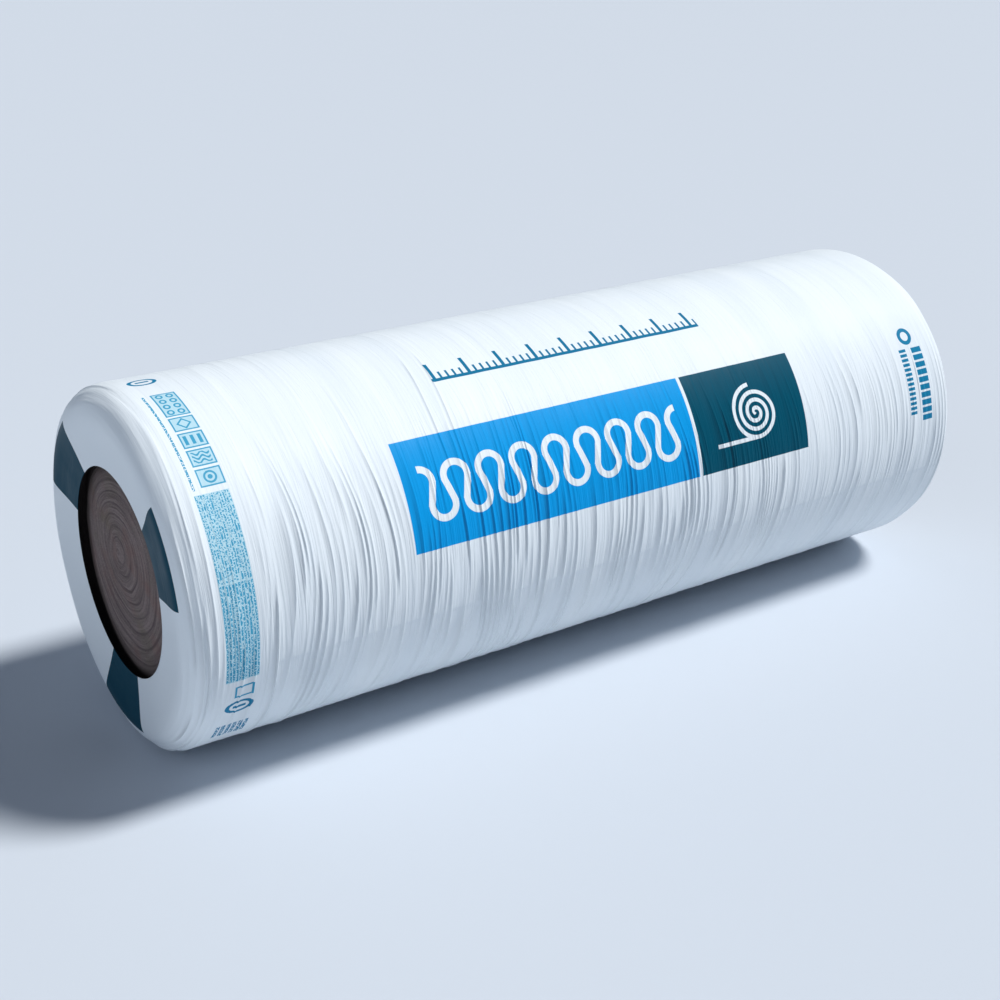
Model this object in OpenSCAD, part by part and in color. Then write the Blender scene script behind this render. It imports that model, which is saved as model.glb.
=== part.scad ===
// Rolled mineral wool blanket in a shrunk film wrap, lying on its side.
// Millimetres. The roll's axis runs along X, +Z is up, and the origin is on the
// floor straight below the roll's centre.

/* [Roll] */
// Length over the film's two end rings, along the roll's axis
roll_length = 1200; // [600:10:1500]
// Diameter over the film
roll_d = 448; // [380:2:600]
// Radius of the film's rounded shoulder, from barrel to end ring
shoulder_r = 34; // [12:1:60]

/* [Film wrap] */
// Wall of the film, as its laps lie on each other
film_t = 0.4; // [0.3:0.1:1]
// Diameter of the round opening that the shrunk film leaves in each end
opening_d = 257; // [150:1:300]
// Width of the flat ring that the roll can stand on, inside the shoulder
ring_w = 12; // [4:1:20]
// Depth that the end film sinks from its flat ring to the lip of its opening
lip_sink = 8; // [0:0.5:20]

/* [Wool blanket] */
// Gap between the film and the wool
film_gap = 0.3; // [0.1:0.1:1]
// Thickness of one turn of the compressed blanket
turn_pitch = 16; // [10:0.5:30]
// Height that each turn bulges at the end of the roll
turn_crown = 2.5; // [1:0.5:4]
// Depth of the wool's bulges behind the lip of the film's opening
wool_recess = 13; // [5:0.5:30]
// Width of wool pocket that the lip of the film overhangs, all round
lip_overhang = 5; // [1:0.5:10]

/* [Hidden] */

$fn = 96;
cut_past = 1;                        // how far a cut runs past the face that it opens

roll_r = roll_d / 2;
half_length = roll_length / 2;
opening_r = opening_d / 2;
ring_inner_r = roll_r - shoulder_r - ring_w;
end_lean = atan(lip_sink / (ring_inner_r - opening_r));   // the end film's slope

wool_inset = film_t + film_gap;      // how far the wool's skin lies inside the film's
pocket_r = opening_r + lip_overhang;
crown_plane = half_length - lip_sink - wool_recess;       // where the bulges reach to
crown_r = (pow(turn_pitch / 2, 2) + pow(turn_crown, 2)) / (2 * turn_crown);
turns_showing = ceil(pocket_r / turn_pitch);

film_colour = [0.93, 0.95, 0.98];
wool_colour = [0.34, 0.30, 0.28];

// Half of the section through the roll's axis: radius along X, axis along Y.
// inset moves every face of it inwards by that much.
module roll_section(inset) {
    r = roll_r - inset;
    h = half_length - inset;
    corner = shoulder_r - inset;
    lean_start_r = ring_inner_r + inset * (1 / cos(end_lean) - 1) / max(tan(end_lean), 0.001);
    difference() {
        union() {
            translate([0, corner - h])
                square([r, 2 * (h - corner)]);
            translate([0, -h])
                square([r - corner, 2 * h]);
            for (side = [-1, 1])
                translate([r - corner, side * (h - corner)])
                    circle(corner);
        }
        for (side = [0, 1])
            mirror([0, side])
                polygon([
                    [0, h - lean_start_r * tan(end_lean)],
                    [lean_start_r, h],
                    [lean_start_r, h + cut_past],
                    [0, h + cut_past]
                ]);
    }
}

// The bulging edges of the turns, as arcs side by side from the axis outwards.
module turn_crowns() {
    for (turn = [0 : turns_showing])
        translate([turn * turn_pitch, crown_plane - crown_r])
            circle(crown_r);
}

// The pocket in the wool behind one opening. Its floor is made of the turns' bulges.
module end_pocket() {
    floor_plane = crown_plane - turn_crown;
    difference() {
        translate([0, floor_plane])
            square([pocket_r, half_length - floor_plane + cut_past]);
        turn_crowns();
    }
}

// Turns a half section about the roll's axis and lays the roll on the floor.
module turned_on_floor() {
    translate([0, 0, roll_r])
        rotate([0, 90, 0])
            rotate_extrude()
                children();
}

module wool_roll() {
    color(wool_colour)
        turned_on_floor()
            difference() {
                roll_section(wool_inset);
                for (side = [0, 1])
                    mirror([0, side])
                        end_pocket();
            }
}

module film_wrap() {
    color(film_colour)
        turned_on_floor()
            difference() {
                roll_section(0);
                roll_section(film_t);
                translate([0, -half_length])
                    square([opening_r, roll_length]);
            }
}

wool_roll();
film_wrap();
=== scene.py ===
import math

import bpy
import numpy as np
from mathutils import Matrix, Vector


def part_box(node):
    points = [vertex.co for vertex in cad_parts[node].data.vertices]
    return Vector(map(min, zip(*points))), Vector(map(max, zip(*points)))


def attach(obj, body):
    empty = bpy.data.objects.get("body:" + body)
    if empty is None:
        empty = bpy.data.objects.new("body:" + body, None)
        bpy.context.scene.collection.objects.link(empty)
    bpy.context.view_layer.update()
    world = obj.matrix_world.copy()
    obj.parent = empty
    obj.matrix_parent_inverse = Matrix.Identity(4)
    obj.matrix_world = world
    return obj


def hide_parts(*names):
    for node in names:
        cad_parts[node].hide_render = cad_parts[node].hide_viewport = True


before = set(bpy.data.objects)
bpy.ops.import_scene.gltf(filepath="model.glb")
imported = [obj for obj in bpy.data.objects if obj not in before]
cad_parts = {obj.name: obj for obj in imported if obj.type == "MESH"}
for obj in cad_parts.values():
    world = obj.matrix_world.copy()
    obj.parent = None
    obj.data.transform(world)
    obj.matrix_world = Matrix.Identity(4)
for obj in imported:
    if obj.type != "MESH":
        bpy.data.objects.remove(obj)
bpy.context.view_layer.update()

# A roll of mineral wool in its printed film wrap. The shapes are worked out in millimetres:
# x along the roll's axis from its middle, and the angle round it from the front (the -Y side)
# up over the top. They are turned into metres in the part's frame when a mesh is made.

MM = 0.001

# The roll's sizes, read from the film's box and matched to its drawing.
film_low, film_high = (np.array(corner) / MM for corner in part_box("film_wrap"))
HALF_LENGTH = film_high[0]
ROLL_R = (film_high[2] - film_low[2]) / 2
AXIS_HEIGHT = (film_high[2] + film_low[2]) / 2
SHOULDER_R = 34
OPENING_R = 128.5
LIP_SINK = 8                         # of the lip below the end plane
WOOL_RECESS = 13                     # from the lip to the plane that the drawn bulges reach
TURN_PITCH = 16                      # the thickness of one turn of the blanket

# The film in section: barrel, shoulder and the shallow cone down to the lip, measured along it.
BARREL_HALF = HALF_LENGTH - SHOULDER_R
END_LEAN = math.atan2(LIP_SINK, ROLL_R - SHOULDER_R - OPENING_R)
SHOULDER_TURN = math.pi / 2 + END_LEAN
SHOULDER_EASE = 13                   # how far the turn is smoothed each way along the film
CONE_START = BARREL_HALF + SHOULDER_R * SHOULDER_TURN
CONE_TOP_R = ROLL_R - SHOULDER_R * (1 - math.cos(SHOULDER_TURN))
LIP = CONE_START + (CONE_TOP_R - OPENING_R) / math.cos(END_LEAN)
CREASED_TO = BARREL_HALF + 1.35 * SHOULDER_R    # where the creases end, past the shoulder's middle

LAP_EDGE = math.radians(-13)         # where the film's outer end is welded down along the roll
LAP_STEP = 0.12                      # how far the lap stands up there
LAP_FADES = (LAP_EDGE + math.radians(40), LAP_EDGE + math.radians(120))    # the step fades out here
CREASE_LINES = 144                   # from one shoulder to the other
LONG_CREASES = (-234, -214)          # where two creases run on up the front
LONG_CREASE_TOP = math.radians(80)   # they have faded out here
LONG_CREASE_SHARE = 0.75             # how high they stand
WIDE_SWELL = 0.17                    # the size of the wide unevenness all over the film
SHOULDER_SWELL = 0.55                # and of the shorter one on the shoulders
END_RINGS = 17                       # rings of points from the last crease to the lip
LIP_EDGE = 1.2                       # from the last of them to the lip
FILM_WALL = 0.4                      # at the lip
FOLD_CLEAR = 0.7                     # added to the wall, to keep the folds clear of its inner side
CREASE_ROOM = 2.2                    # how far the smooth film lies below the highest crease
END_ROOM = 0.5                       # the same on the cone
LEAST_DEPTH = 0.02                   # the highest crest stays this far inside the roll's outline
FOLD_DEPTH = 0.25                    # how far a fold may lie below the smooth film
WOOL_GAP = 0.5                       # between the film's inner side and the wool

# The wool's end: the turns bulge, and the middle of the spiral has pushed out.
SPIRAL_BACK, SPIRAL_UP = 6, 22       # from the roll's axis to the spiral's middle
SPIRAL_RIM = 150                     # the radius where the turns are centred on the axis again
TURN_BULGE = 1.5                     # of each turn's middle over the grooves beside it
LAYER_HEIGHT = 0.22                  # of each set of thin layers in a turn
MIDDLE_PUSH, MIDDLE_REACH = 6, 75    # how far the middle has pushed out, and how wide that is
FACE_FORWARD = 1                     # how far the grooves stand out from the plane of the drawn bulges
DROP_DEPTH = 7                       # how far the wool drops back behind the lip
DROP_SPAN = (126, 150)               # the radii between which it drops
RISE_SPAN = (150, 172)               # the radii between which it rises to the film

# The film's map runs along it, from lip to lip and on to its inner side, and once round the roll.
INNER_STRIP = 60
MAP_LENGTH = 2 * LIP + INNER_STRIP
ROUND = 2 * math.pi * ROLL_R

# Print, in millimetres along the film from its middle and round the roll from the front: left, right,
# low and high.
BLUE_PANEL = (-316, 111, 36, 170.5)
TEAL_PANEL = (116, 302.5, 36, 170.5)
SECTOR_AT, SECTOR_HALF = 26.4, 17.2  # degrees: where the first of three sectors lies, and half its width
SECTOR_START = BARREL_HALF + 45.0    # along the film, on its shoulder
MARKS_LEFT, MARKS_RIGHT = -547, -518  # the column of handling marks

# The colours of film, ink, wool and paper.
FILM_WHITE = "#ebf2f7"
FILM_THIN = "#e0e9f1"
# Painted shade: the film's inner side is coloured near black, so that the gap behind the lip looks dark.
INNER_SIDE_SHADE = "#1b1b1c"
# Painted shade: mixed into the film at the foot of each crease.
FOLD_SHADE_GREY = "#3c4650"
SECTOR_TEAL = "#004054"
PANEL_BLUE = "#0a9ae2"
PANEL_TEAL = "#004f66"
LINE_TEAL = "#0d7299"
TINT_BLUE = "#b9dce9"
SMALL_BLUE = "#429fc4"
MARK_TEAL = "#1b7fa8"
WOOL_DARK = "#6b5f5d"
WOOL_PALE = "#968886"
WOOL_RED = "#84665f"
WOOL_GREEN = "#75705f"
# Painted shade: the wool's grooves between the turns.
WOOL_GROOVE_SHADE = "#4d4547"
# Painted shade: the wool near the lip and behind it.
WOOL_LIP_SHADE = "#453e3d"
PAPER_BLUE_WHITE = "#cfd6df"

# The lights: where each comes from, how strong it is and how many degrees wide it looks.
KEY_FROM, KEY_STRENGTH, KEY_SPREAD = (0.54, -0.26, 0.83), 3.45, 13
FILL_FROM, FILL_STRENGTH, FILL_SPREAD = (-0.85, -0.3, 0.42), 0.44, 60
KEY_COLOUR, FILL_COLOUR = (1.0, 1.0, 0.99), (0.86, 0.92, 1.0)
ROOM_COLOUR, ROOM_STRENGTH = (0.62, 0.76, 1.0, 1.0), 0.17

# The camera: its place in metres from the roll's centre, how many degrees it looks down and lies round
# from the front, and its sensor and lens in millimetres.
CAMERA_X, CAMERA_Y, CAMERA_Z = -1.1439, -1.6181, 0.7930
CAMERA_DOWN, CAMERA_ROUND = 22.995, 33.993
SENSOR, LENS = 36, 56.15


# ---- meshes ----

def mesh_piece(name, points, faces, material, corner_map=None):
    """A piece from points in millimetres (x, y, z from the roll's centre) and its faces, smooth all
    over. corner_map gives each face corner its place on the piece's UV map."""
    mesh = bpy.data.meshes.new(name)
    placed = (points + np.array([0, 0, AXIS_HEIGHT])) * MM
    mesh.from_pydata(placed.tolist(), [], faces)
    if corner_map is not None:
        layer = mesh.uv_layers.new(name="OFBake")
        layer.uv.foreach_set("vector", corner_map.astype(np.float32).ravel())
    mesh.polygons.foreach_set("use_smooth", np.ones(len(faces), bool))
    mesh.materials.append(material)
    mesh.update()
    piece = bpy.data.objects.new(name, mesh)
    bpy.context.scene.collection.objects.link(piece)
    return piece


def keep_values(piece, name, values):
    """Stores one number for each of a piece's points, which its material reads."""
    layer = piece.data.attributes.new(name, "FLOAT", "POINT")
    layer.data.foreach_set("value", values.astype(np.float32))


def turned(x, radius, angle):
    """Points on the roll: x along the axis, radius from it, angle from the front up over the top."""
    return np.stack([x, -radius * np.cos(angle), radius * np.sin(angle)], -1)


def grid_faces(rows, columns, closed):
    """The quads between neighbouring rows of points that run once round the roll. Where closed, the
    last row joins the first."""
    row = np.arange(rows if closed else rows - 1)[:, None]
    column = np.arange(columns)[None, :]
    below, beside = (row + 1) % rows, (column + 1) % columns
    corners = [row * columns + column, below * columns + column,
               below * columns + beside, row * columns + beside]
    return np.stack([np.broadcast_to(c, (row.size, columns)) for c in corners], -1).reshape(-1, 4)


# ---- the film's shape ----

def film_section(along):
    """The smooth film in section, at a distance along it from the middle of the barrel: x and radius,
    then the outward normal in x and in radius. The barrel is straight, the shoulder turns a little over
    a quarter circle and eases into and out of its turn, and the cone leans in from it, straight down to
    the lip. x and radius are the running sums of the cosine and the sine of the turn."""
    side, run = np.sign(along), np.abs(along)
    step = 0.25                          # of the running sums
    walk = np.arange(BARREL_HALF - 2 * SHOULDER_EASE, LIP + 5, step)
    arc = np.clip((walk - BARREL_HALF) / SHOULDER_R, 0, SHOULDER_TURN)
    ease = np.hanning(int(SHOULDER_EASE / step) * 2 + 1)
    arc = np.convolve(np.pad(arc, ease.size // 2, "edge"), ease / ease.sum(), "valid")
    walk_x = walk[0] + np.cumsum(np.cos(arc)) * step
    walk_radius = ROLL_R - np.cumsum(np.sin(arc)) * step
    x = np.where(run < walk[0], run, np.interp(run, walk + step, walk_x))
    radius = np.interp(run, walk + step, walk_radius)
    turn = np.interp(run, walk + step / 2, arc)
    return side * x, radius, side * np.sin(turn), np.cos(turn)


def uneven(draw, count, angle, waves):
    """Smooth random curves round the roll: each is a sum of cosines of 1, 2, 3... waves in a turn, so
    that it closes on itself, and has a spread of about 1."""
    wave = np.arange(1, waves + 1)[None, :, None]
    phase = draw.uniform(0, 2 * math.pi, (count, waves, 1))
    size = draw.normal(size=(count, waves, 1)) / np.sqrt(wave)
    curve = (size * np.cos(wave * angle + phase)).sum(1)
    return curve / math.sqrt(0.5 * (1 / wave).sum())


def rolling(draw, along, angle, size, shortest, longest, round_waves=(1, 6)):
    """A smooth uneven height over the film: a sum of waves, each a sine along the roll, from shortest to
    longest, times a cosine of a few waves round it."""
    count = 24
    length = np.exp(draw.uniform(math.log(shortest), math.log(longest), (count, 1)))
    phase = draw.uniform(0, 2 * math.pi, (2, count, 1))
    waves = draw.integers(*round_waves, (count, 1))
    lengthwise = np.sin(2 * math.pi * along[None, :] / length + phase[0])
    crosswise = np.cos(waves * angle[None, :] + phase[1])
    return size * math.sqrt(4 / count) * lengthwise.T @ crosswise


def smooth_step(value, low, high):
    """0 below low, 1 above high, and an S curve between."""
    t = np.clip((value - low) / (high - low), 0, 1)
    return t * t * (3 - 2 * t)


def film_columns():
    """The angles of the film's columns: even steps, and one more just below the lap's edge."""
    even = np.radians(np.arange(-180, 180, 3.0))
    return np.sort(np.append(even, [LAP_EDGE - math.radians(0.12), LAP_EDGE]))


def crease_lines(draw, angle):
    """Where the creases run round the roll: the distance along the film of each one at each angle. They
    are mostly 5 to 16 mm apart. Each gap is a random number times the exponential of a smooth random
    curve round the roll, so that the creases lean, draw together and part. The gaps are summed, and the
    sum is stretched to run from one shoulder to the other."""
    gaps = draw.lognormal(0, 0.38, CREASE_LINES).clip(0.55, 2)[:, None]
    lines = np.cumsum(gaps * np.exp(0.2 * uneven(draw, gaps.size, angle, 4)), 0)
    share = (lines - lines[0]) / (lines[-1] - lines[0])
    return CREASED_TO * (2 * share - 1)


def film_room(run):
    """How far the smooth film lies below the highest crest: room for the creases on the barrel and the
    shoulders, a little for unevenness on the cone, and none at the lip."""
    on_end = smooth_step(run, BARREL_HALF + 8, CONE_START + 14)
    return (CREASE_ROOM * (1 - on_end) + END_ROOM * on_end) * smooth_step(LIP - run, -1, 25)


def film_back(run):
    """How far the film's inner side lies below the highest crest: clear of the deepest fold between two
    creases, and one film's thickness at the lip."""
    return film_room(run) + FILM_WALL + FOLD_CLEAR * smooth_step(LIP - run, 2, 30)


def drawn_in(angle):
    """How much the film is drawn in, and so creased, at each angle: wholly on the front from just below
    the lap's edge upwards, less further down, hardly at all on the top, and about half as much on the
    back. Straight lines join the shares that are given at some angles in degrees."""
    degrees = [-180, -130, -60, -40, -13.06, 5, 22, 35, 48, 75, 105, 140, 180]
    shares = [0.55, 0.45, 0.3, 0.65, 1, 1, 0.8, 0.3, 0.06, 0.03, 0.09, 0.5, 0.55]
    return np.interp(np.degrees(angle), degrees, shares)


def crease_heights(draw, along, angle):
    """How high each crease stands at each angle: its own random strength, times the share of its place
    along the roll, times an S curve of a smooth random curve, so that it fades in and out round the
    roll, times how much the film is drawn in there. Two long creases run on up the front."""
    stretches = np.linspace(-CREASED_TO, CREASED_TO, 34)
    strength = draw.lognormal(math.log(1.5), 0.45, along.size)
    strength = strength * np.interp(along, stretches, draw.uniform(0.45, 1.3, stretches.size))
    # Strong on the near shoulder, smoother under the small print, strong again as far as the blue panel
    # reaches, down to about half at the teal panel's end, and stronger on the far shoulder.
    places = [-600, -572, -560, -512, -495, -340, -260, 80, 300, 500, 600]
    shares = [2, 1.5, 0.55, 0.55, 1.15, 1.15, 0.95, 1.05, 0.58, 0.52, 1]
    strength = strength * np.interp(along, places, shares)
    strength = strength * smooth_step(CREASED_TO - np.abs(along), 0, 24)
    reach = smooth_step(uneven(draw, along.size, angle, 9), -1.1, 0.6)
    heights = strength[:, None] * reach * drawn_in(angle)
    fades_at_top = smooth_step(-angle, -LONG_CREASE_TOP, -LONG_CREASE_TOP + 0.25)
    long_reach = smooth_step(angle, LAP_EDGE, 0) * fades_at_top
    for place in LONG_CREASES:
        crease = np.abs(along - place).argmin()
        heights[crease] = np.maximum(heights[crease], LONG_CREASE_SHARE * long_reach)
    return np.clip(heights, 0, CREASE_ROOM - 0.15)


def film_rings(lines, heights):
    """The film's rings of points, how high each stands and how deep it lies in a fold. Each crease is a
    sharp crest with a short steep side towards -X and a longer side towards +X. It has a ring on its
    crest, two down the long side, one in the fold at the foot of the next crest, and one halfway up that
    crest's steep side. Heights are shares of the crest's own height, or of the next one's."""
    gap = np.diff(lines, axis=0)
    steep = np.minimum(0.25 * gap, 1.5)
    steps = np.stack([0 * gap, np.minimum(0.15 * gap, 1.0), np.minimum(0.36 * gap, 2.7),
                      gap - steep, gap - 0.5 * steep], 1)
    rings = (lines[:-1, None] + steps).reshape(-1, gap.shape[1])
    crest, next_crest = heights[:-1], heights[1:]
    rise = np.stack([crest, 0.4 * crest, 0 * crest, -0.14 * next_crest, 0.5 * next_crest], 1)
    fold = np.stack([0 * crest, 0 * crest, 0.1 * next_crest, next_crest, 0.7 * next_crest], 1)
    return rings, rise.reshape(rings.shape), fold.reshape(rings.shape)


def outer_film(draw, angle):
    """The film's outer side: the creases, the film's wide unevenness, the shorter unevenness of the
    shoulders, and the lap, which stands up along the whole barrel above its welded edge. The rise of
    each point is taken off the film's room there, and the point lies that deep along the section's
    normal. Returns the points, their distance along the film and how deep each lies in a fold."""
    lines = crease_lines(draw, angle)
    rings, rise, fold = film_rings(lines, crease_heights(draw, lines.mean(1), angle))
    end = np.append(np.linspace(CREASED_TO, LIP - LIP_EDGE, END_RINGS), LIP)[:, None] + 0 * angle
    near_end = -end[:0:-1]               # the first crest is already at its start
    along = np.concatenate([near_end, rings, end])
    rise = np.concatenate([0 * near_end, rise, 0 * end])
    fold = np.concatenate([0 * near_end, fold, 0 * end])
    middle_along = along.mean(1)
    run = np.abs(middle_along)
    rise = rise + rolling(draw, middle_along, angle, WIDE_SWELL, 22, 120)
    fades_on_cone = smooth_step(-run, -CONE_START - 2, -CONE_START + 30)
    turning = smooth_step(run, BARREL_HALF - 5, BARREL_HALF + 20) * fades_on_cone
    swell = rolling(draw, middle_along, angle, SHOULDER_SWELL, 12, 30, round_waves=(2, 11))
    rise = rise + turning[:, None] * swell
    lap = np.where(angle >= LAP_EDGE, LAP_STEP * (1 - smooth_step(angle, *LAP_FADES)), 0)
    rise = rise + lap * (1 - smooth_step(run, BARREL_HALF, CREASED_TO)[:, None])
    room = film_room(run)[:, None]
    depth = np.clip(room * (1 - rise / CREASE_ROOM), LEAST_DEPTH, room + FOLD_DEPTH)
    x, radius, normal_x, normal_r = film_section(along)
    return turned(x - normal_x * depth, radius - normal_r * depth, angle), along, fold


def inner_film(angle):
    """The film's plain inner side, from the far lip back to the near one."""
    end = np.linspace(LIP, BARREL_HALF, 20)
    barrel = np.linspace(BARREL_HALF, -BARREL_HALF, 6)[1:-1]
    along = np.concatenate([end, barrel, -end[::-1]])[:, None] + 0 * angle
    x, radius, normal_x, normal_r = film_section(along)
    wall = film_back(np.abs(along))
    return turned(x - normal_x * wall, radius - normal_r * wall, angle)


def film_map(along, inner_rows, angle):
    """Each face corner's place on the film's map: along the film from the near lip, and then a narrow
    strip for the inner side, and round the roll from the back."""
    strip = 2 * LIP + np.linspace(2, MAP_LENGTH - 2 * LIP - 2, inner_rows)[:, None] + 0 * angle
    u = np.concatenate([along + LIP, strip]) / MAP_LENGTH
    v = np.broadcast_to(angle / (2 * math.pi) + 0.5, u.shape)
    u = np.vstack([u, np.ones(angle.size)])
    u = np.column_stack([u, u[:, 0]])
    v = np.vstack([v, v[0]])
    v = np.column_stack([v, v[:, 0] + 1])
    here, next_one = slice(0, -1), slice(1, None)
    corners = [(here, here), (next_one, here), (next_one, next_one), (here, next_one)]
    return np.stack([np.stack([u[c], v[c]], -1) for c in corners], 2).reshape(-1, 2)


def make_film(material):
    """The film wrap as one closed skin: its outer side, the lip at each end, and its inner side. Its
    points keep how much the film is drawn in and how deep they lie in a fold, for the material."""
    draw = np.random.default_rng(41)
    angle = film_columns()
    outer, along, fold = outer_film(draw, angle)
    inner = inner_film(angle)
    points = np.concatenate([outer, inner])
    faces = grid_faces(len(points), angle.size, closed=True)
    corner_map = film_map(along, len(inner), angle)
    film = mesh_piece("printed_film", points.reshape(-1, 3), faces.tolist(), material, corner_map)
    keep_values(film, "drawn_in", np.broadcast_to(drawn_in(angle), points.shape[:2]).ravel())
    keep_values(film, "fold", np.concatenate([fold, np.zeros(inner.shape[:2])]).ravel())
    return film


# ---- the wool's shape ----

def spiral_place(radius, angle):
    """Where a point of the end face lies on the wool's spiral: its radius from the spiral's own middle,
    which is a little above the roll's axis, and the turns wound there. The turns wound are that radius
    over the pitch, less the part of a turn gone round. The rings are off centre in the middle of the
    face and centred at its rim, and they sway a little."""
    fade = 1 - np.minimum(radius / SPIRAL_RIM, 1) ** 2
    across = -radius * np.cos(angle) - SPIRAL_BACK * fade
    up = radius * np.sin(angle) - SPIRAL_UP * fade
    sway = 0.9 * np.sin(3 * angle + radius / 31) + 0.6 * np.sin(7 * angle - radius / 17)
    own_radius = np.hypot(across, up) + sway * np.minimum(radius / 30, 1)
    return own_radius, own_radius / TURN_PITCH - np.arctan2(up, -across) / (2 * math.pi)


def wool_face(radius, angle):
    """How far in from the end plane the wool's end lies, out to the film's cone. The turns are a spiral:
    each bulges between two grooves, as 1 less the fourth power of the distance from its middle, and is
    made of thin layers, which are sines of the turns wound. The middle has pushed out in a bell curve.
    Behind the lip the wool drops back, and then it rises to meet the film."""
    own_radius, turn = spiral_place(radius, angle)
    bulge = TURN_BULGE * (1 - np.abs(2 * (turn % 1) - 1) ** 4)
    layers = 0
    for count, waves in ((3, 2), (5, 3), (8, 5)):
        sway = 1.7 * np.sin(waves * angle + count)
        layers = layers + LAYER_HEIGHT * np.sin(2 * math.pi * count * turn + 3.1 * count + sway)
    ripple = 0.7 * np.sin(own_radius / 12 + 2 * np.sin(angle))
    pushed_out = MIDDLE_PUSH * np.exp(-(own_radius / MIDDLE_REACH) ** 2) + ripple
    inner = LIP_SINK + WOOL_RECESS - FACE_FORWARD - bulge - pushed_out - layers
    film_side = END_ROOM + FILM_WALL + FOLD_CLEAR + 2 * WOOL_GAP + SHOULDER_R * (1 - math.cos(END_LEAN))
    film_side = film_side + np.clip(CONE_TOP_R - radius, 0, None) * math.tan(END_LEAN)
    rise = smooth_step(radius, *RISE_SPAN)
    drop = DROP_DEPTH * smooth_step(radius, *DROP_SPAN)
    return (inner + drop) * (1 - rise) + film_side * rise


def make_wool(material):
    """The wool as one closed skin: the spiral end faces, the gap behind each lip, and a plain barrel just
    inside the film. The turns run straight through the roll, so both ends show the same spiral, and each
    is the other one's mirror image. Each point keeps its place on the spiral for the material."""
    angle = np.radians(np.arange(0, 360, 1.5))
    radius = np.concatenate([np.arange(1.2, 122, 1.2), np.linspace(123, 176, 16)])[:, None]
    face_depth = wool_face(radius, angle)
    near = turned(face_depth - HALF_LENGTH, radius, angle)
    far = turned(HALF_LENGTH - face_depth, radius, angle)
    shoulder = np.linspace(CONE_START + 8, BARREL_HALF, 10)
    along = np.concatenate([-shoulder, shoulder[::-1]])[:, None] + 0 * angle
    x, skin_r, normal_x, normal_r = film_section(along)
    inset = film_back(np.abs(along)) + WOOL_GAP
    skin = turned(x - normal_x * inset, skin_r - normal_r * inset, angle)
    rows = np.concatenate([near, skin, far[::-1]])

    # The middle of each end is closed with a fan.
    middles = np.array([[near[0, :, 0].mean(), 0, 0], [far[0, :, 0].mean(), 0, 0]])
    near_middle, far_middle = rows.shape[0] * rows.shape[1] + np.arange(2)
    column = np.arange(angle.size)
    beside = (column + 1) % angle.size
    last_row = (rows.shape[0] - 1) * angle.size
    fans = [[near_middle, a, b] for a, b in zip(column, beside)]
    fans += [[far_middle, last_row + b, last_row + a] for a, b in zip(column, beside)]
    points = np.concatenate([rows.reshape(-1, 3), middles])
    faces = grid_faces(len(rows), angle.size, closed=False).tolist() + fans
    wool = mesh_piece("wound_wool", points, faces, material)

    face_radius, turn = spiral_place(radius, angle)
    barrel = np.full(skin.shape[:2], ROLL_R)
    own_radius = np.concatenate([face_radius, barrel, face_radius[::-1]]).ravel()
    groove = np.concatenate([turn, 0 * barrel + 0.5, turn[::-1]]).ravel()
    groove = np.abs(2 * (groove % 1) - 1)
    keep_values(wool, "spiral_radius", np.append(own_radius, own_radius[[0, -1]]))
    keep_values(wool, "groove", np.append(groove, groove[[0, -1]]))
    return wool


# ---- materials ----

def linear(hex_colour):
    """A colour given in sRGB hex, turned to linear with alpha 1."""
    value = np.array([int(hex_colour[i:i + 2], 16) for i in (1, 3, 5)]) / 255
    value = np.where(value <= 0.04045, value / 12.92, ((value + 0.055) / 1.055) ** 2.4)
    return (*value.tolist(), 1.0)


def add(tree, kind, inputs, **settings):
    """Adds a node with its settings. inputs maps the name or place of an input to what goes into it: a
    socket or a Field is linked, and anything else is the input's own value."""
    node = tree.nodes.new("ShaderNode" + kind)
    for name, value in settings.items():
        setattr(node, name, value)
    for place, value in inputs.items():
        value = value.socket if isinstance(value, Field) else value
        if isinstance(value, bpy.types.NodeSocket):
            tree.links.new(value, node.inputs[place])
        else:
            node.inputs[place].default_value = value
    return node


class Field:
    """A number that varies over a surface. Arithmetic with it adds Math nodes to its tree."""

    def __init__(self, tree, socket):
        self.tree, self.socket = tree, socket

    def then(self, operation, *others, clamp=False):
        inputs = dict(enumerate((self, *others)))
        node = add(self.tree, "Math", inputs, operation=operation, use_clamp=clamp)
        return Field(self.tree, node.outputs[0])

    def __add__(self, other):
        return self.then("ADD", other)

    def __sub__(self, other):
        return self.then("SUBTRACT", other)

    def __mul__(self, other):
        return self.then("MULTIPLY", other)

    def __truediv__(self, other):
        return self.then("DIVIDE", other)

    def __abs__(self):
        return self.then("ABSOLUTE")

    def least(self, other):
        return self.then("MINIMUM", other)

    def most(self, other):
        return self.then("MAXIMUM", other)


# Shapes in print. Each is a Field: the distance in millimetres to the shape's edge, below 0 inside it.

def bar(value, low, high):
    """A band from low to high."""
    return abs(value - (low + high) / 2) - (high - low) / 2


def block(x, t, left, right, low, high):
    """A rectangle: the larger of the distances to its two bands."""
    return bar(x, left, right).most(bar(t, low, high))


def length_of(x, t):
    """The length of (x, t), by Pythagoras."""
    return (x * x + t * t).then("SQRT")


def disc(x, t, middle_x, middle_t, radius):
    """A round spot: the distance from its middle, less its radius."""
    return length_of(x - middle_x, t - middle_t) - radius


def oval(x, t, left, right, low, high):
    """An ellipse: its distance is that of a round spot, stretched both ways to fit."""
    half_x, half_t = (right - left) / 2, (high - low) / 2
    stretched = length_of((x - (left + right) / 2) / half_x, (t - (low + high) / 2) / half_t)
    return (stretched - 1) * min(half_x, half_t)


def line_of(shape, width):
    """The outline of a shape, as a line of this width."""
    return abs(shape) - width / 2


def repeated(value, pitch):
    """value counted from the middle of each step of this pitch."""
    return value.then("FLOORED_MODULO", pitch) - pitch / 2


def inked(shape, edge=0.5):
    """1 inside the shape, 0 outside, and a slope this wide across its edge."""
    return shape.then("MULTIPLY_ADD", -1 / edge, 0.5, clamp=True)


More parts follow.
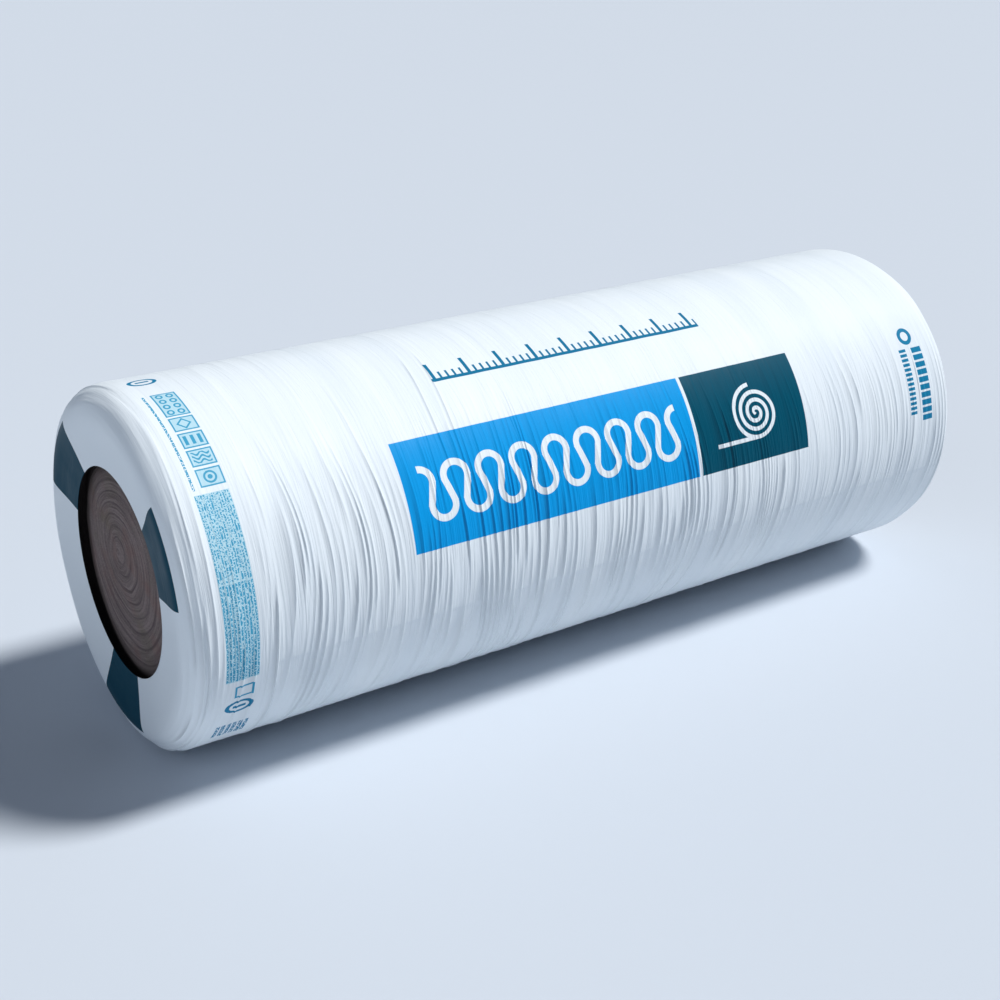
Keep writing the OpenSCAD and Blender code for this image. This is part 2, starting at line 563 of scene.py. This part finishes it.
def serpentine(x, t, left, right, low, high, loops, width):
    """The batt sign: one line that loops up and down between low and high. It is made of circles with
    their middles by turns near the top and near the bottom, and the tangents that cross between them.
    The pattern is folded about the middle of a loop, and then about the middle of a tangent, so that
    only half a tangent and one circle are left."""
    period = (right - left) / loops
    radius = 0.33 * period
    lift = (high - low - width) / 2 - radius               # of a circle's middle above the centre line
    to_middle = math.hypot(period / 4, lift)
    half_tangent = math.sqrt(to_middle ** 2 - radius ** 2)
    lean = math.atan2(lift, -period / 4) - math.asin(radius / to_middle)
    side_x = abs(repeated(x - left + period / 2, period)) - period / 4
    side_t = t - (low + high) / 2
    run = side_x * math.cos(lean) + side_t * math.sin(lean)
    off = side_x * -math.sin(lean) + side_t * math.cos(lean)
    flip = run.then("SIGN")
    run, off = run * flip, off * flip
    tangent = abs(off).most(run - half_tangent)
    circle = abs(length_of(run - half_tangent, off - radius) - radius)
    # Beside the tangent the circle isn't drawn: it is put 100 mm off.
    on_circle = circle + (run - half_tangent).then("LESS_THAN", 0) * 100
    return (tangent.least(on_circle) - width / 2).most(bar(x, left, right))


def spiral(x, t, middle_x, middle_t, pitch, turns, width):
    """A roll seen from its end: the line where the radius is pitch times the turns wound, out to the
    last turn, and then straight on to the left as the blanket that unrolls."""
    dx, dt = x - middle_x, t - middle_t
    radius = length_of(dx, dt)
    angle = (dx * -1).then("ARCTAN2", dt * -1) / (2 * math.pi)
    winding = abs(repeated(radius - angle * pitch + pitch / 2, pitch))
    outer_r = turns * pitch
    wound = (winding - width / 2).most(radius - outer_r - angle * pitch - width / 2)
    tail = bar(t, middle_t - outer_r - width / 2, middle_t - outer_r + width / 2)
    return wound.least(tail.most(bar(x, middle_x - 2.2 * outer_r, middle_x)))


def mock_print(x, t, left, right, low, high, pitch, gaps, start):
    """Lines of mock small print that run round the roll: a row of bars, broken up along its length by
    fine noise into strokes about 2 mm long, with no letters in them. gaps is how much is left open."""
    half_ink = 0.36 * pitch
    rows = bar(repeated(x - left, pitch), -half_ink, half_ink)
    row = ((x - left) / pitch).then("FLOOR")
    place = add(x.tree, "CombineXYZ", {0: row * 7.3 + start, 1: t / 2.0, 2: x / 1.6})
    speckle = add(x.tree, "TexNoise", {"Vector": place.outputs[0], "Scale": 1.0, "Detail": 0.0})
    broken = (Field(x.tree, speckle.outputs[0]) - gaps) * -20
    return rows.most(broken).most(block(x, t, left, right, low, high))


def joined(shapes):
    """Several shapes as one: the least of their distances."""
    whole = shapes[0]
    for shape in shapes[1:]:
        whole = whole.least(shape)
    return whole


def mark_boxes(x, t):
    """The boxes of the handling marks: four small ones and a taller one, in a column round the roll."""
    spans = [(170, 192), (195.5, 217.5), (220.5, 242.5), (246, 268), (271, 319)]
    return joined([block(x, t, MARKS_LEFT, MARKS_RIGHT, low, high) for low, high in spans])


def handling_marks(x, t):
    """The handling marks, each a plain shape in its box: a ring round a spot, waves, three bars, a
    diamond and rows of rings."""
    middle = (MARKS_LEFT + MARKS_RIGHT) / 2
    left, right = MARKS_LEFT + 4, MARKS_RIGHT - 4
    sway = (x * (2 * math.pi / 12)).then("SINE") * 2
    waves = (abs(repeated(t - 198.5 + sway, 5.4)) - 1.3).most(block(x, t, left, right, 199, 214))
    bars = bar(repeated(x - MARKS_LEFT - 2, 8.3), -2, 2).most(block(x, t, left, right, 225, 238))
    from_ring = length_of(repeated(x - MARKS_LEFT - 2.2, 12.3), repeated(t - 272.5, 11.3))
    rings = line_of(from_ring - 3.3, 2.2)
    return joined([
        line_of(mark_boxes(x, t) + 0.8, 1.8),
        line_of(disc(x, t, middle, 181, 6.5), 2.4),
        disc(x, t, middle, 181, 2.8),
        waves,
        bars,
        line_of(abs(x - middle) + abs(t - 257) - 7.5, 2.8),
        rings.most(block(x, t, MARKS_LEFT + 2, MARKS_RIGHT - 2, 272.5, 317.5)),
    ])


def stamp(x, t, low, high):
    """An oval stamp on the near end's print band: a thick ring with a bar in it."""
    ring = line_of(oval(x, t, -553, -523, low, high), 3.6)
    middle = (low + high) / 2
    return ring.least(block(x, t, -546, -530, middle - 2.2, middle + 2.2))


def scale_marks(x, t, left, right, low, high):
    """A cutting scale along the roll: a base line with a short tick every 10 mm and a long one every
    50 mm."""
    base = bar(t, low, low + 5)
    short = bar(repeated(x - left, 10), -1.6, 1.6).most(bar(t, low, low + 0.48 * (high - low)))
    tall = bar(repeated(x - left + 20, 50), -2.5, 2.5).most(bar(t, low, high))
    return joined([base, short, tall]).most(bar(x, left, right))


def print_layers(x, t):
    """The film's print, from the first ink to the last, and then the painted shade on the film's inner
    side: each a shape and its colour.
    """
    angle = t * (360 / ROUND)
    sectors = (abs(repeated(angle - SECTOR_AT + 60, 120)) - SECTOR_HALF) * (ROUND / 360)
    small = (MARKS_LEFT - 11.5, MARKS_RIGHT)
    far_dashes = bar(repeated(t - 27, 11), -4, 4).most(block(x, t, 527, 546, 27, 137))
    far_fine_dashes = bar(repeated(t - 39, 7), -2.2, 2.2).most(block(x, t, 503, 516, 39, 137))
    return [
        (block(x, t, *BLUE_PANEL), PANEL_BLUE),
        (block(x, t, *TEAL_PANEL), PANEL_TEAL),
        (sectors.most(abs(x) * -1 + SECTOR_START), SECTOR_TEAL),
        (serpentine(x, t, -293, 90, 66, 137, loops=8, width=8.5), FILM_WHITE),
        (spiral(x, t, 219, 101, pitch=11, turns=3, width=5.4), FILM_WHITE),
        (scale_marks(x, t, -221, 195, 240, 272), LINE_TEAL),
        (block(x, t, *small, -61, 162.5), TINT_BLUE),
        (mock_print(x, t, *small, -60, 60, pitch=3.7, gaps=0.45, start=0), SMALL_BLUE),
        (mock_print(x, t, *small, 62, 162, pitch=3.1, gaps=0.5, start=20), SMALL_BLUE),
        (mark_boxes(x, t), TINT_BLUE),
        (handling_marks(x, t), SMALL_BLUE),
        (mock_print(x, t, -558, -554, 168, 318, pitch=4, gaps=0.42, start=40), SMALL_BLUE),
        (stamp(x, t, 353, 375), MARK_TEAL),
        (stamp(x, t, -115, -96), MARK_TEAL),
        (line_of(block(x, t, -545, -524, -87, -71), 2.6), SMALL_BLUE),
        (mock_print(x, t, -560, -518, -176, -143, pitch=7, gaps=0.42, start=80), MARK_TEAL),
        (line_of(disc(x, t, 524, 154, 10), 6), MARK_TEAL),
        (far_dashes.least(far_fine_dashes), MARK_TEAL),
        # Painted shade: the film's inner side, from just inside the lip, is coloured near black.
        (abs(x) * -1 + LIP + 0.5, INNER_SIDE_SHADE),
    ]


def printed_film():
    """Blown low-density polyethylene film, white outside and flexo printed; its inner side is coloured near
    black as painted shade for the gap behind the lip. The eye sees an opaque white with a low satin gloss,
    which fine drawn creases about 4 mm apart break up."""
    material = bpy.data.materials.new("flexo_printed_polyethylene")
    material.use_nodes = True
    tree = material.node_tree
    tree.nodes.clear()
    film_map = add(tree, "UVMap", {}, uv_map="OFBake")
    split = add(tree, "SeparateXYZ", {0: film_map.outputs[0]})
    x = Field(tree, split.outputs[0]) * MAP_LENGTH - LIP
    t = Field(tree, split.outputs[1]) * ROUND - ROUND / 2
    place = add(tree, "TexCoord", {}).outputs["Object"]

    # Opacity varies a little with the film's thickness, in bands 45 mm wide that run round the roll.
    bands = add(tree, "Mapping", {"Vector": place, "Scale": (1 / 0.045, 1 / 0.4, 1 / 0.4)})
    cloud = add(tree, "TexNoise", {"Vector": bands.outputs[0], "Scale": 1.0, "Detail": 3.0})
    thin = add(tree, "MapRange", {0: cloud.outputs[0], 1: 0.35, 2: 0.75, 3: 0.0, 4: 0.6})
    whites = {0: thin.outputs[0], 6: linear(FILM_WHITE), 7: linear(FILM_THIN)}
    colour = add(tree, "Mix", whites, data_type="RGBA").outputs[2]
    for shape, ink in print_layers(x, t):
        layer = {0: inked(shape), 6: colour, 7: linear(ink)}
        colour = add(tree, "Mix", layer, data_type="RGBA").outputs[2]

    # Painted shade: the film's colour is mixed a little towards grey at the foot of each crease, by how
    # deep it lies in the fold.
    fold_shade_share = Field(tree, add(tree, "Attribute", {}, attribute_name="fold").outputs["Fac"])
    folds = {0: fold_shade_share.then("MULTIPLY", 0.09, clamp=True), 6: colour, 7: linear(FOLD_SHADE_GREY)}
    colour = add(tree, "Mix", folds, data_type="RGBA").outputs[2]

    # The film's own fine creases: noise 4.5 mm wide that is drawn out to 130 mm round the roll.
    drawn_out = add(tree, "Mapping", {"Vector": place, "Scale": (1 / 0.0045, 1 / 0.13, 1 / 0.13)})
    fine = add(tree, "TexNoise", {"Vector": drawn_out.outputs[0], "Scale": 1.0, "Detail": 3.0,
                                  "Roughness": 0.6, "Distortion": 0.3})
    soft = add(tree, "TexNoise", {"Vector": place, "Scale": 1 / 0.05, "Detail": 2.0})
    gloss = add(tree, "MapRange", {0: soft.outputs[0], 1: 0.3, 2: 0.7, 3: 0.4, 4: 0.52})
    creased = add(tree, "Attribute", {}, attribute_name="drawn_in").outputs["Fac"]
    share = add(tree, "MapRange", {0: creased, 3: 0.35, 4: 1.0})
    bump = add(tree, "Bump", {"Strength": share.outputs[0], "Distance": 0.0018, "Height": fine.outputs[0]})
    shader = add(tree, "BsdfPrincipled", {"Base Color": colour, "Roughness": gloss.outputs[0], "IOR": 1.4,
                                          "Specular IOR Level": 0.1, "Normal": bump.outputs[0]})
    add(tree, "OutputMaterial", {0: shader.outputs[0]})
    return material


def mineral_wool():
    """Glass mineral wool with a brown binder, slit across its layers: matt and fibrous, in thin rings of
    slightly different brown, with painted shade in the grooves between the turns and near and behind the
    lip, redder and greener clouds, and loose fibre. Real fibres are a few thousandths of a millimetre
    thick, so tufts of 1 to 2 mm stand for them."""
    material = bpy.data.materials.new("glass_wool_brown_binder")
    material.use_nodes = True
    tree = material.node_tree
    tree.nodes.clear()
    place = add(tree, "TexCoord", {}).outputs["Object"]
    radius = Field(tree, add(tree, "Attribute", {}, attribute_name="spiral_radius").outputs["Fac"])
    groove = Field(tree, add(tree, "Attribute", {}, attribute_name="groove").outputs["Fac"])
    split = add(tree, "SeparateXYZ", {0: place})
    y, z = Field(tree, split.outputs[1]), Field(tree, split.outputs[2])

    # Rings about 3 mm apart that run on for a hand's width before they change.
    ring_place = add(tree, "CombineXYZ", {0: radius / 3.0, 1: y * 11, 2: z * 11})
    rings = add(tree, "TexNoise", {"Vector": ring_place.outputs[0], "Scale": 1.0, "Detail": 3.0,
                                   "Roughness": 0.6})
    tufts = add(tree, "TexNoise", {"Vector": place, "Scale": 1 / 0.0018, "Detail": 2.0, "Distortion": 1.5})
    mottled = Field(tree, rings.outputs[0]) * 0.9 + Field(tree, tufts.outputs[0]) * 0.5
    browns = add(tree, "MapRange", {0: mottled, 1: 0.5, 2: 0.9})
    mix = {0: browns.outputs[0], 6: linear(WOOL_DARK), 7: linear(WOOL_PALE)}
    colour = add(tree, "Mix", mix, data_type="RGBA").outputs[2]
    # Redder and greener clouds, 35 and 50 mm across.
    for size, tint, low in ((0.035, WOOL_RED, 0.5), (0.05, WOOL_GREEN, 0.52)):
        cloud = add(tree, "TexNoise", {"Vector": place, "Scale": 1 / size, "Detail": 3.0})
        share = add(tree, "MapRange", {0: cloud.outputs[0], 1: low, 2: 0.75, 3: 0.0, 4: 0.55})
        mix = {0: share.outputs[0], 6: colour, 7: linear(tint)}
        colour = add(tree, "Mix", mix, data_type="RGBA").outputs[2]

    # Painted shade: darker in the grooves between the turns, and in the last 38 mm before the lip and
    # behind it, where the lip shades the wool.
    groove_shade_share = (groove - 0.78).then("MULTIPLY", 2.6, clamp=True)
    from_axis = length_of(y, z - AXIS_HEIGHT * MM) / MM
    lip_shade_share = (from_axis - OPENING_R + 38).then("MULTIPLY", 0.026, clamp=True).then("POWER", 2.2)
    for share, tint in ((groove_shade_share, WOOL_GROOVE_SHADE), (lip_shade_share, WOOL_LIP_SHADE)):
        mix = {0: share, 6: colour, 7: linear(tint)}
        colour = add(tree, "Mix", mix, data_type="RGBA").outputs[2]

    height = Field(tree, tufts.outputs[0]) * 0.6 + Field(tree, rings.outputs[0])
    bump = add(tree, "Bump", {"Strength": 1.0, "Distance": 0.0016, "Height": height})
    shader = add(tree, "BsdfPrincipled", {"Base Color": colour, "Roughness": 0.95,
                                          "Specular IOR Level": 0.1, "Normal": bump.outputs[0]})
    add(tree, "OutputMaterial", {0: shader.outputs[0]})
    return material


# ---- the studio ----

def pale_paper():
    """Matt background paper of a pale cool white, which gives the floor its plain look."""
    material = bpy.data.materials.new("matt_white_paper")
    material.use_nodes = True
    shader = material.node_tree.nodes["Principled BSDF"]
    shader.inputs["Base Color"].default_value = linear(PAPER_BLUE_WHITE)
    shader.inputs["Roughness"].default_value = 0.9
    shader.inputs["Specular IOR Level"].default_value = 0.1
    return material


def lay_floor():
    """A wide paper floor under the roll."""
    mesh = bpy.data.meshes.new("paper_floor")
    half = 30                            # in metres
    corners = [(-half, -half, 0), (half, -half, 0), (half, half, 0), (-half, half, 0)]
    mesh.from_pydata(corners, [], [(0, 1, 2, 3)])
    mesh.materials.append(pale_paper())
    floor = bpy.data.objects.new("paper_floor", mesh)
    bpy.context.scene.collection.objects.link(floor)


def soft_lamp(name, towards, strength, spread, colour):
    """A soft light from far off in this direction. spread is how wide it looks from the roll, in
    degrees."""
    lamp = bpy.data.lights.new(name, "SUN")
    lamp.energy = strength
    lamp.angle = math.radians(spread)
    lamp.color = colour
    holder = bpy.data.objects.new(name, lamp)
    holder.rotation_euler = Vector(towards).to_track_quat("Z", "Y").to_euler()
    bpy.context.scene.collection.objects.link(holder)


def light_studio():
    """A key light high up, a little towards the roll's front and its far end, a weak and wide fill light
    from the near end, and a faint cool light from all round."""
    soft_lamp("key", KEY_FROM, KEY_STRENGTH, KEY_SPREAD, KEY_COLOUR)
    soft_lamp("fill", FILL_FROM, FILL_STRENGTH, FILL_SPREAD, FILL_COLOUR)
    world = bpy.data.worlds.new("studio")
    world.use_nodes = True
    background = world.node_tree.nodes["Background"]
    background.inputs["Color"].default_value = ROOM_COLOUR
    background.inputs["Strength"].default_value = ROOM_STRENGTH
    bpy.context.scene.world = world


def place_camera():
    """The camera looks at the roll's front and its near end, 34 degrees round and 23 degrees up."""
    camera = bpy.data.cameras.new("camera")
    camera.sensor_width = SENSOR
    camera.lens = LENS
    camera.clip_end = 100
    holder = bpy.data.objects.new("camera", camera)
    holder.location = (CAMERA_X, CAMERA_Y, CAMERA_Z + AXIS_HEIGHT * MM)
    holder.rotation_euler = (math.radians(90 - CAMERA_DOWN), 0, math.radians(-CAMERA_ROUND))
    bpy.context.scene.collection.objects.link(holder)
    bpy.context.scene.camera = holder


film = make_film(printed_film())
wool = make_wool(mineral_wool())
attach(film, "root")
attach(wool, "root")
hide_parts("film_wrap")
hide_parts("wool_roll")

lay_floor()
light_studio()
place_camera()
bpy.context.scene.view_settings.view_transform = "Standard"
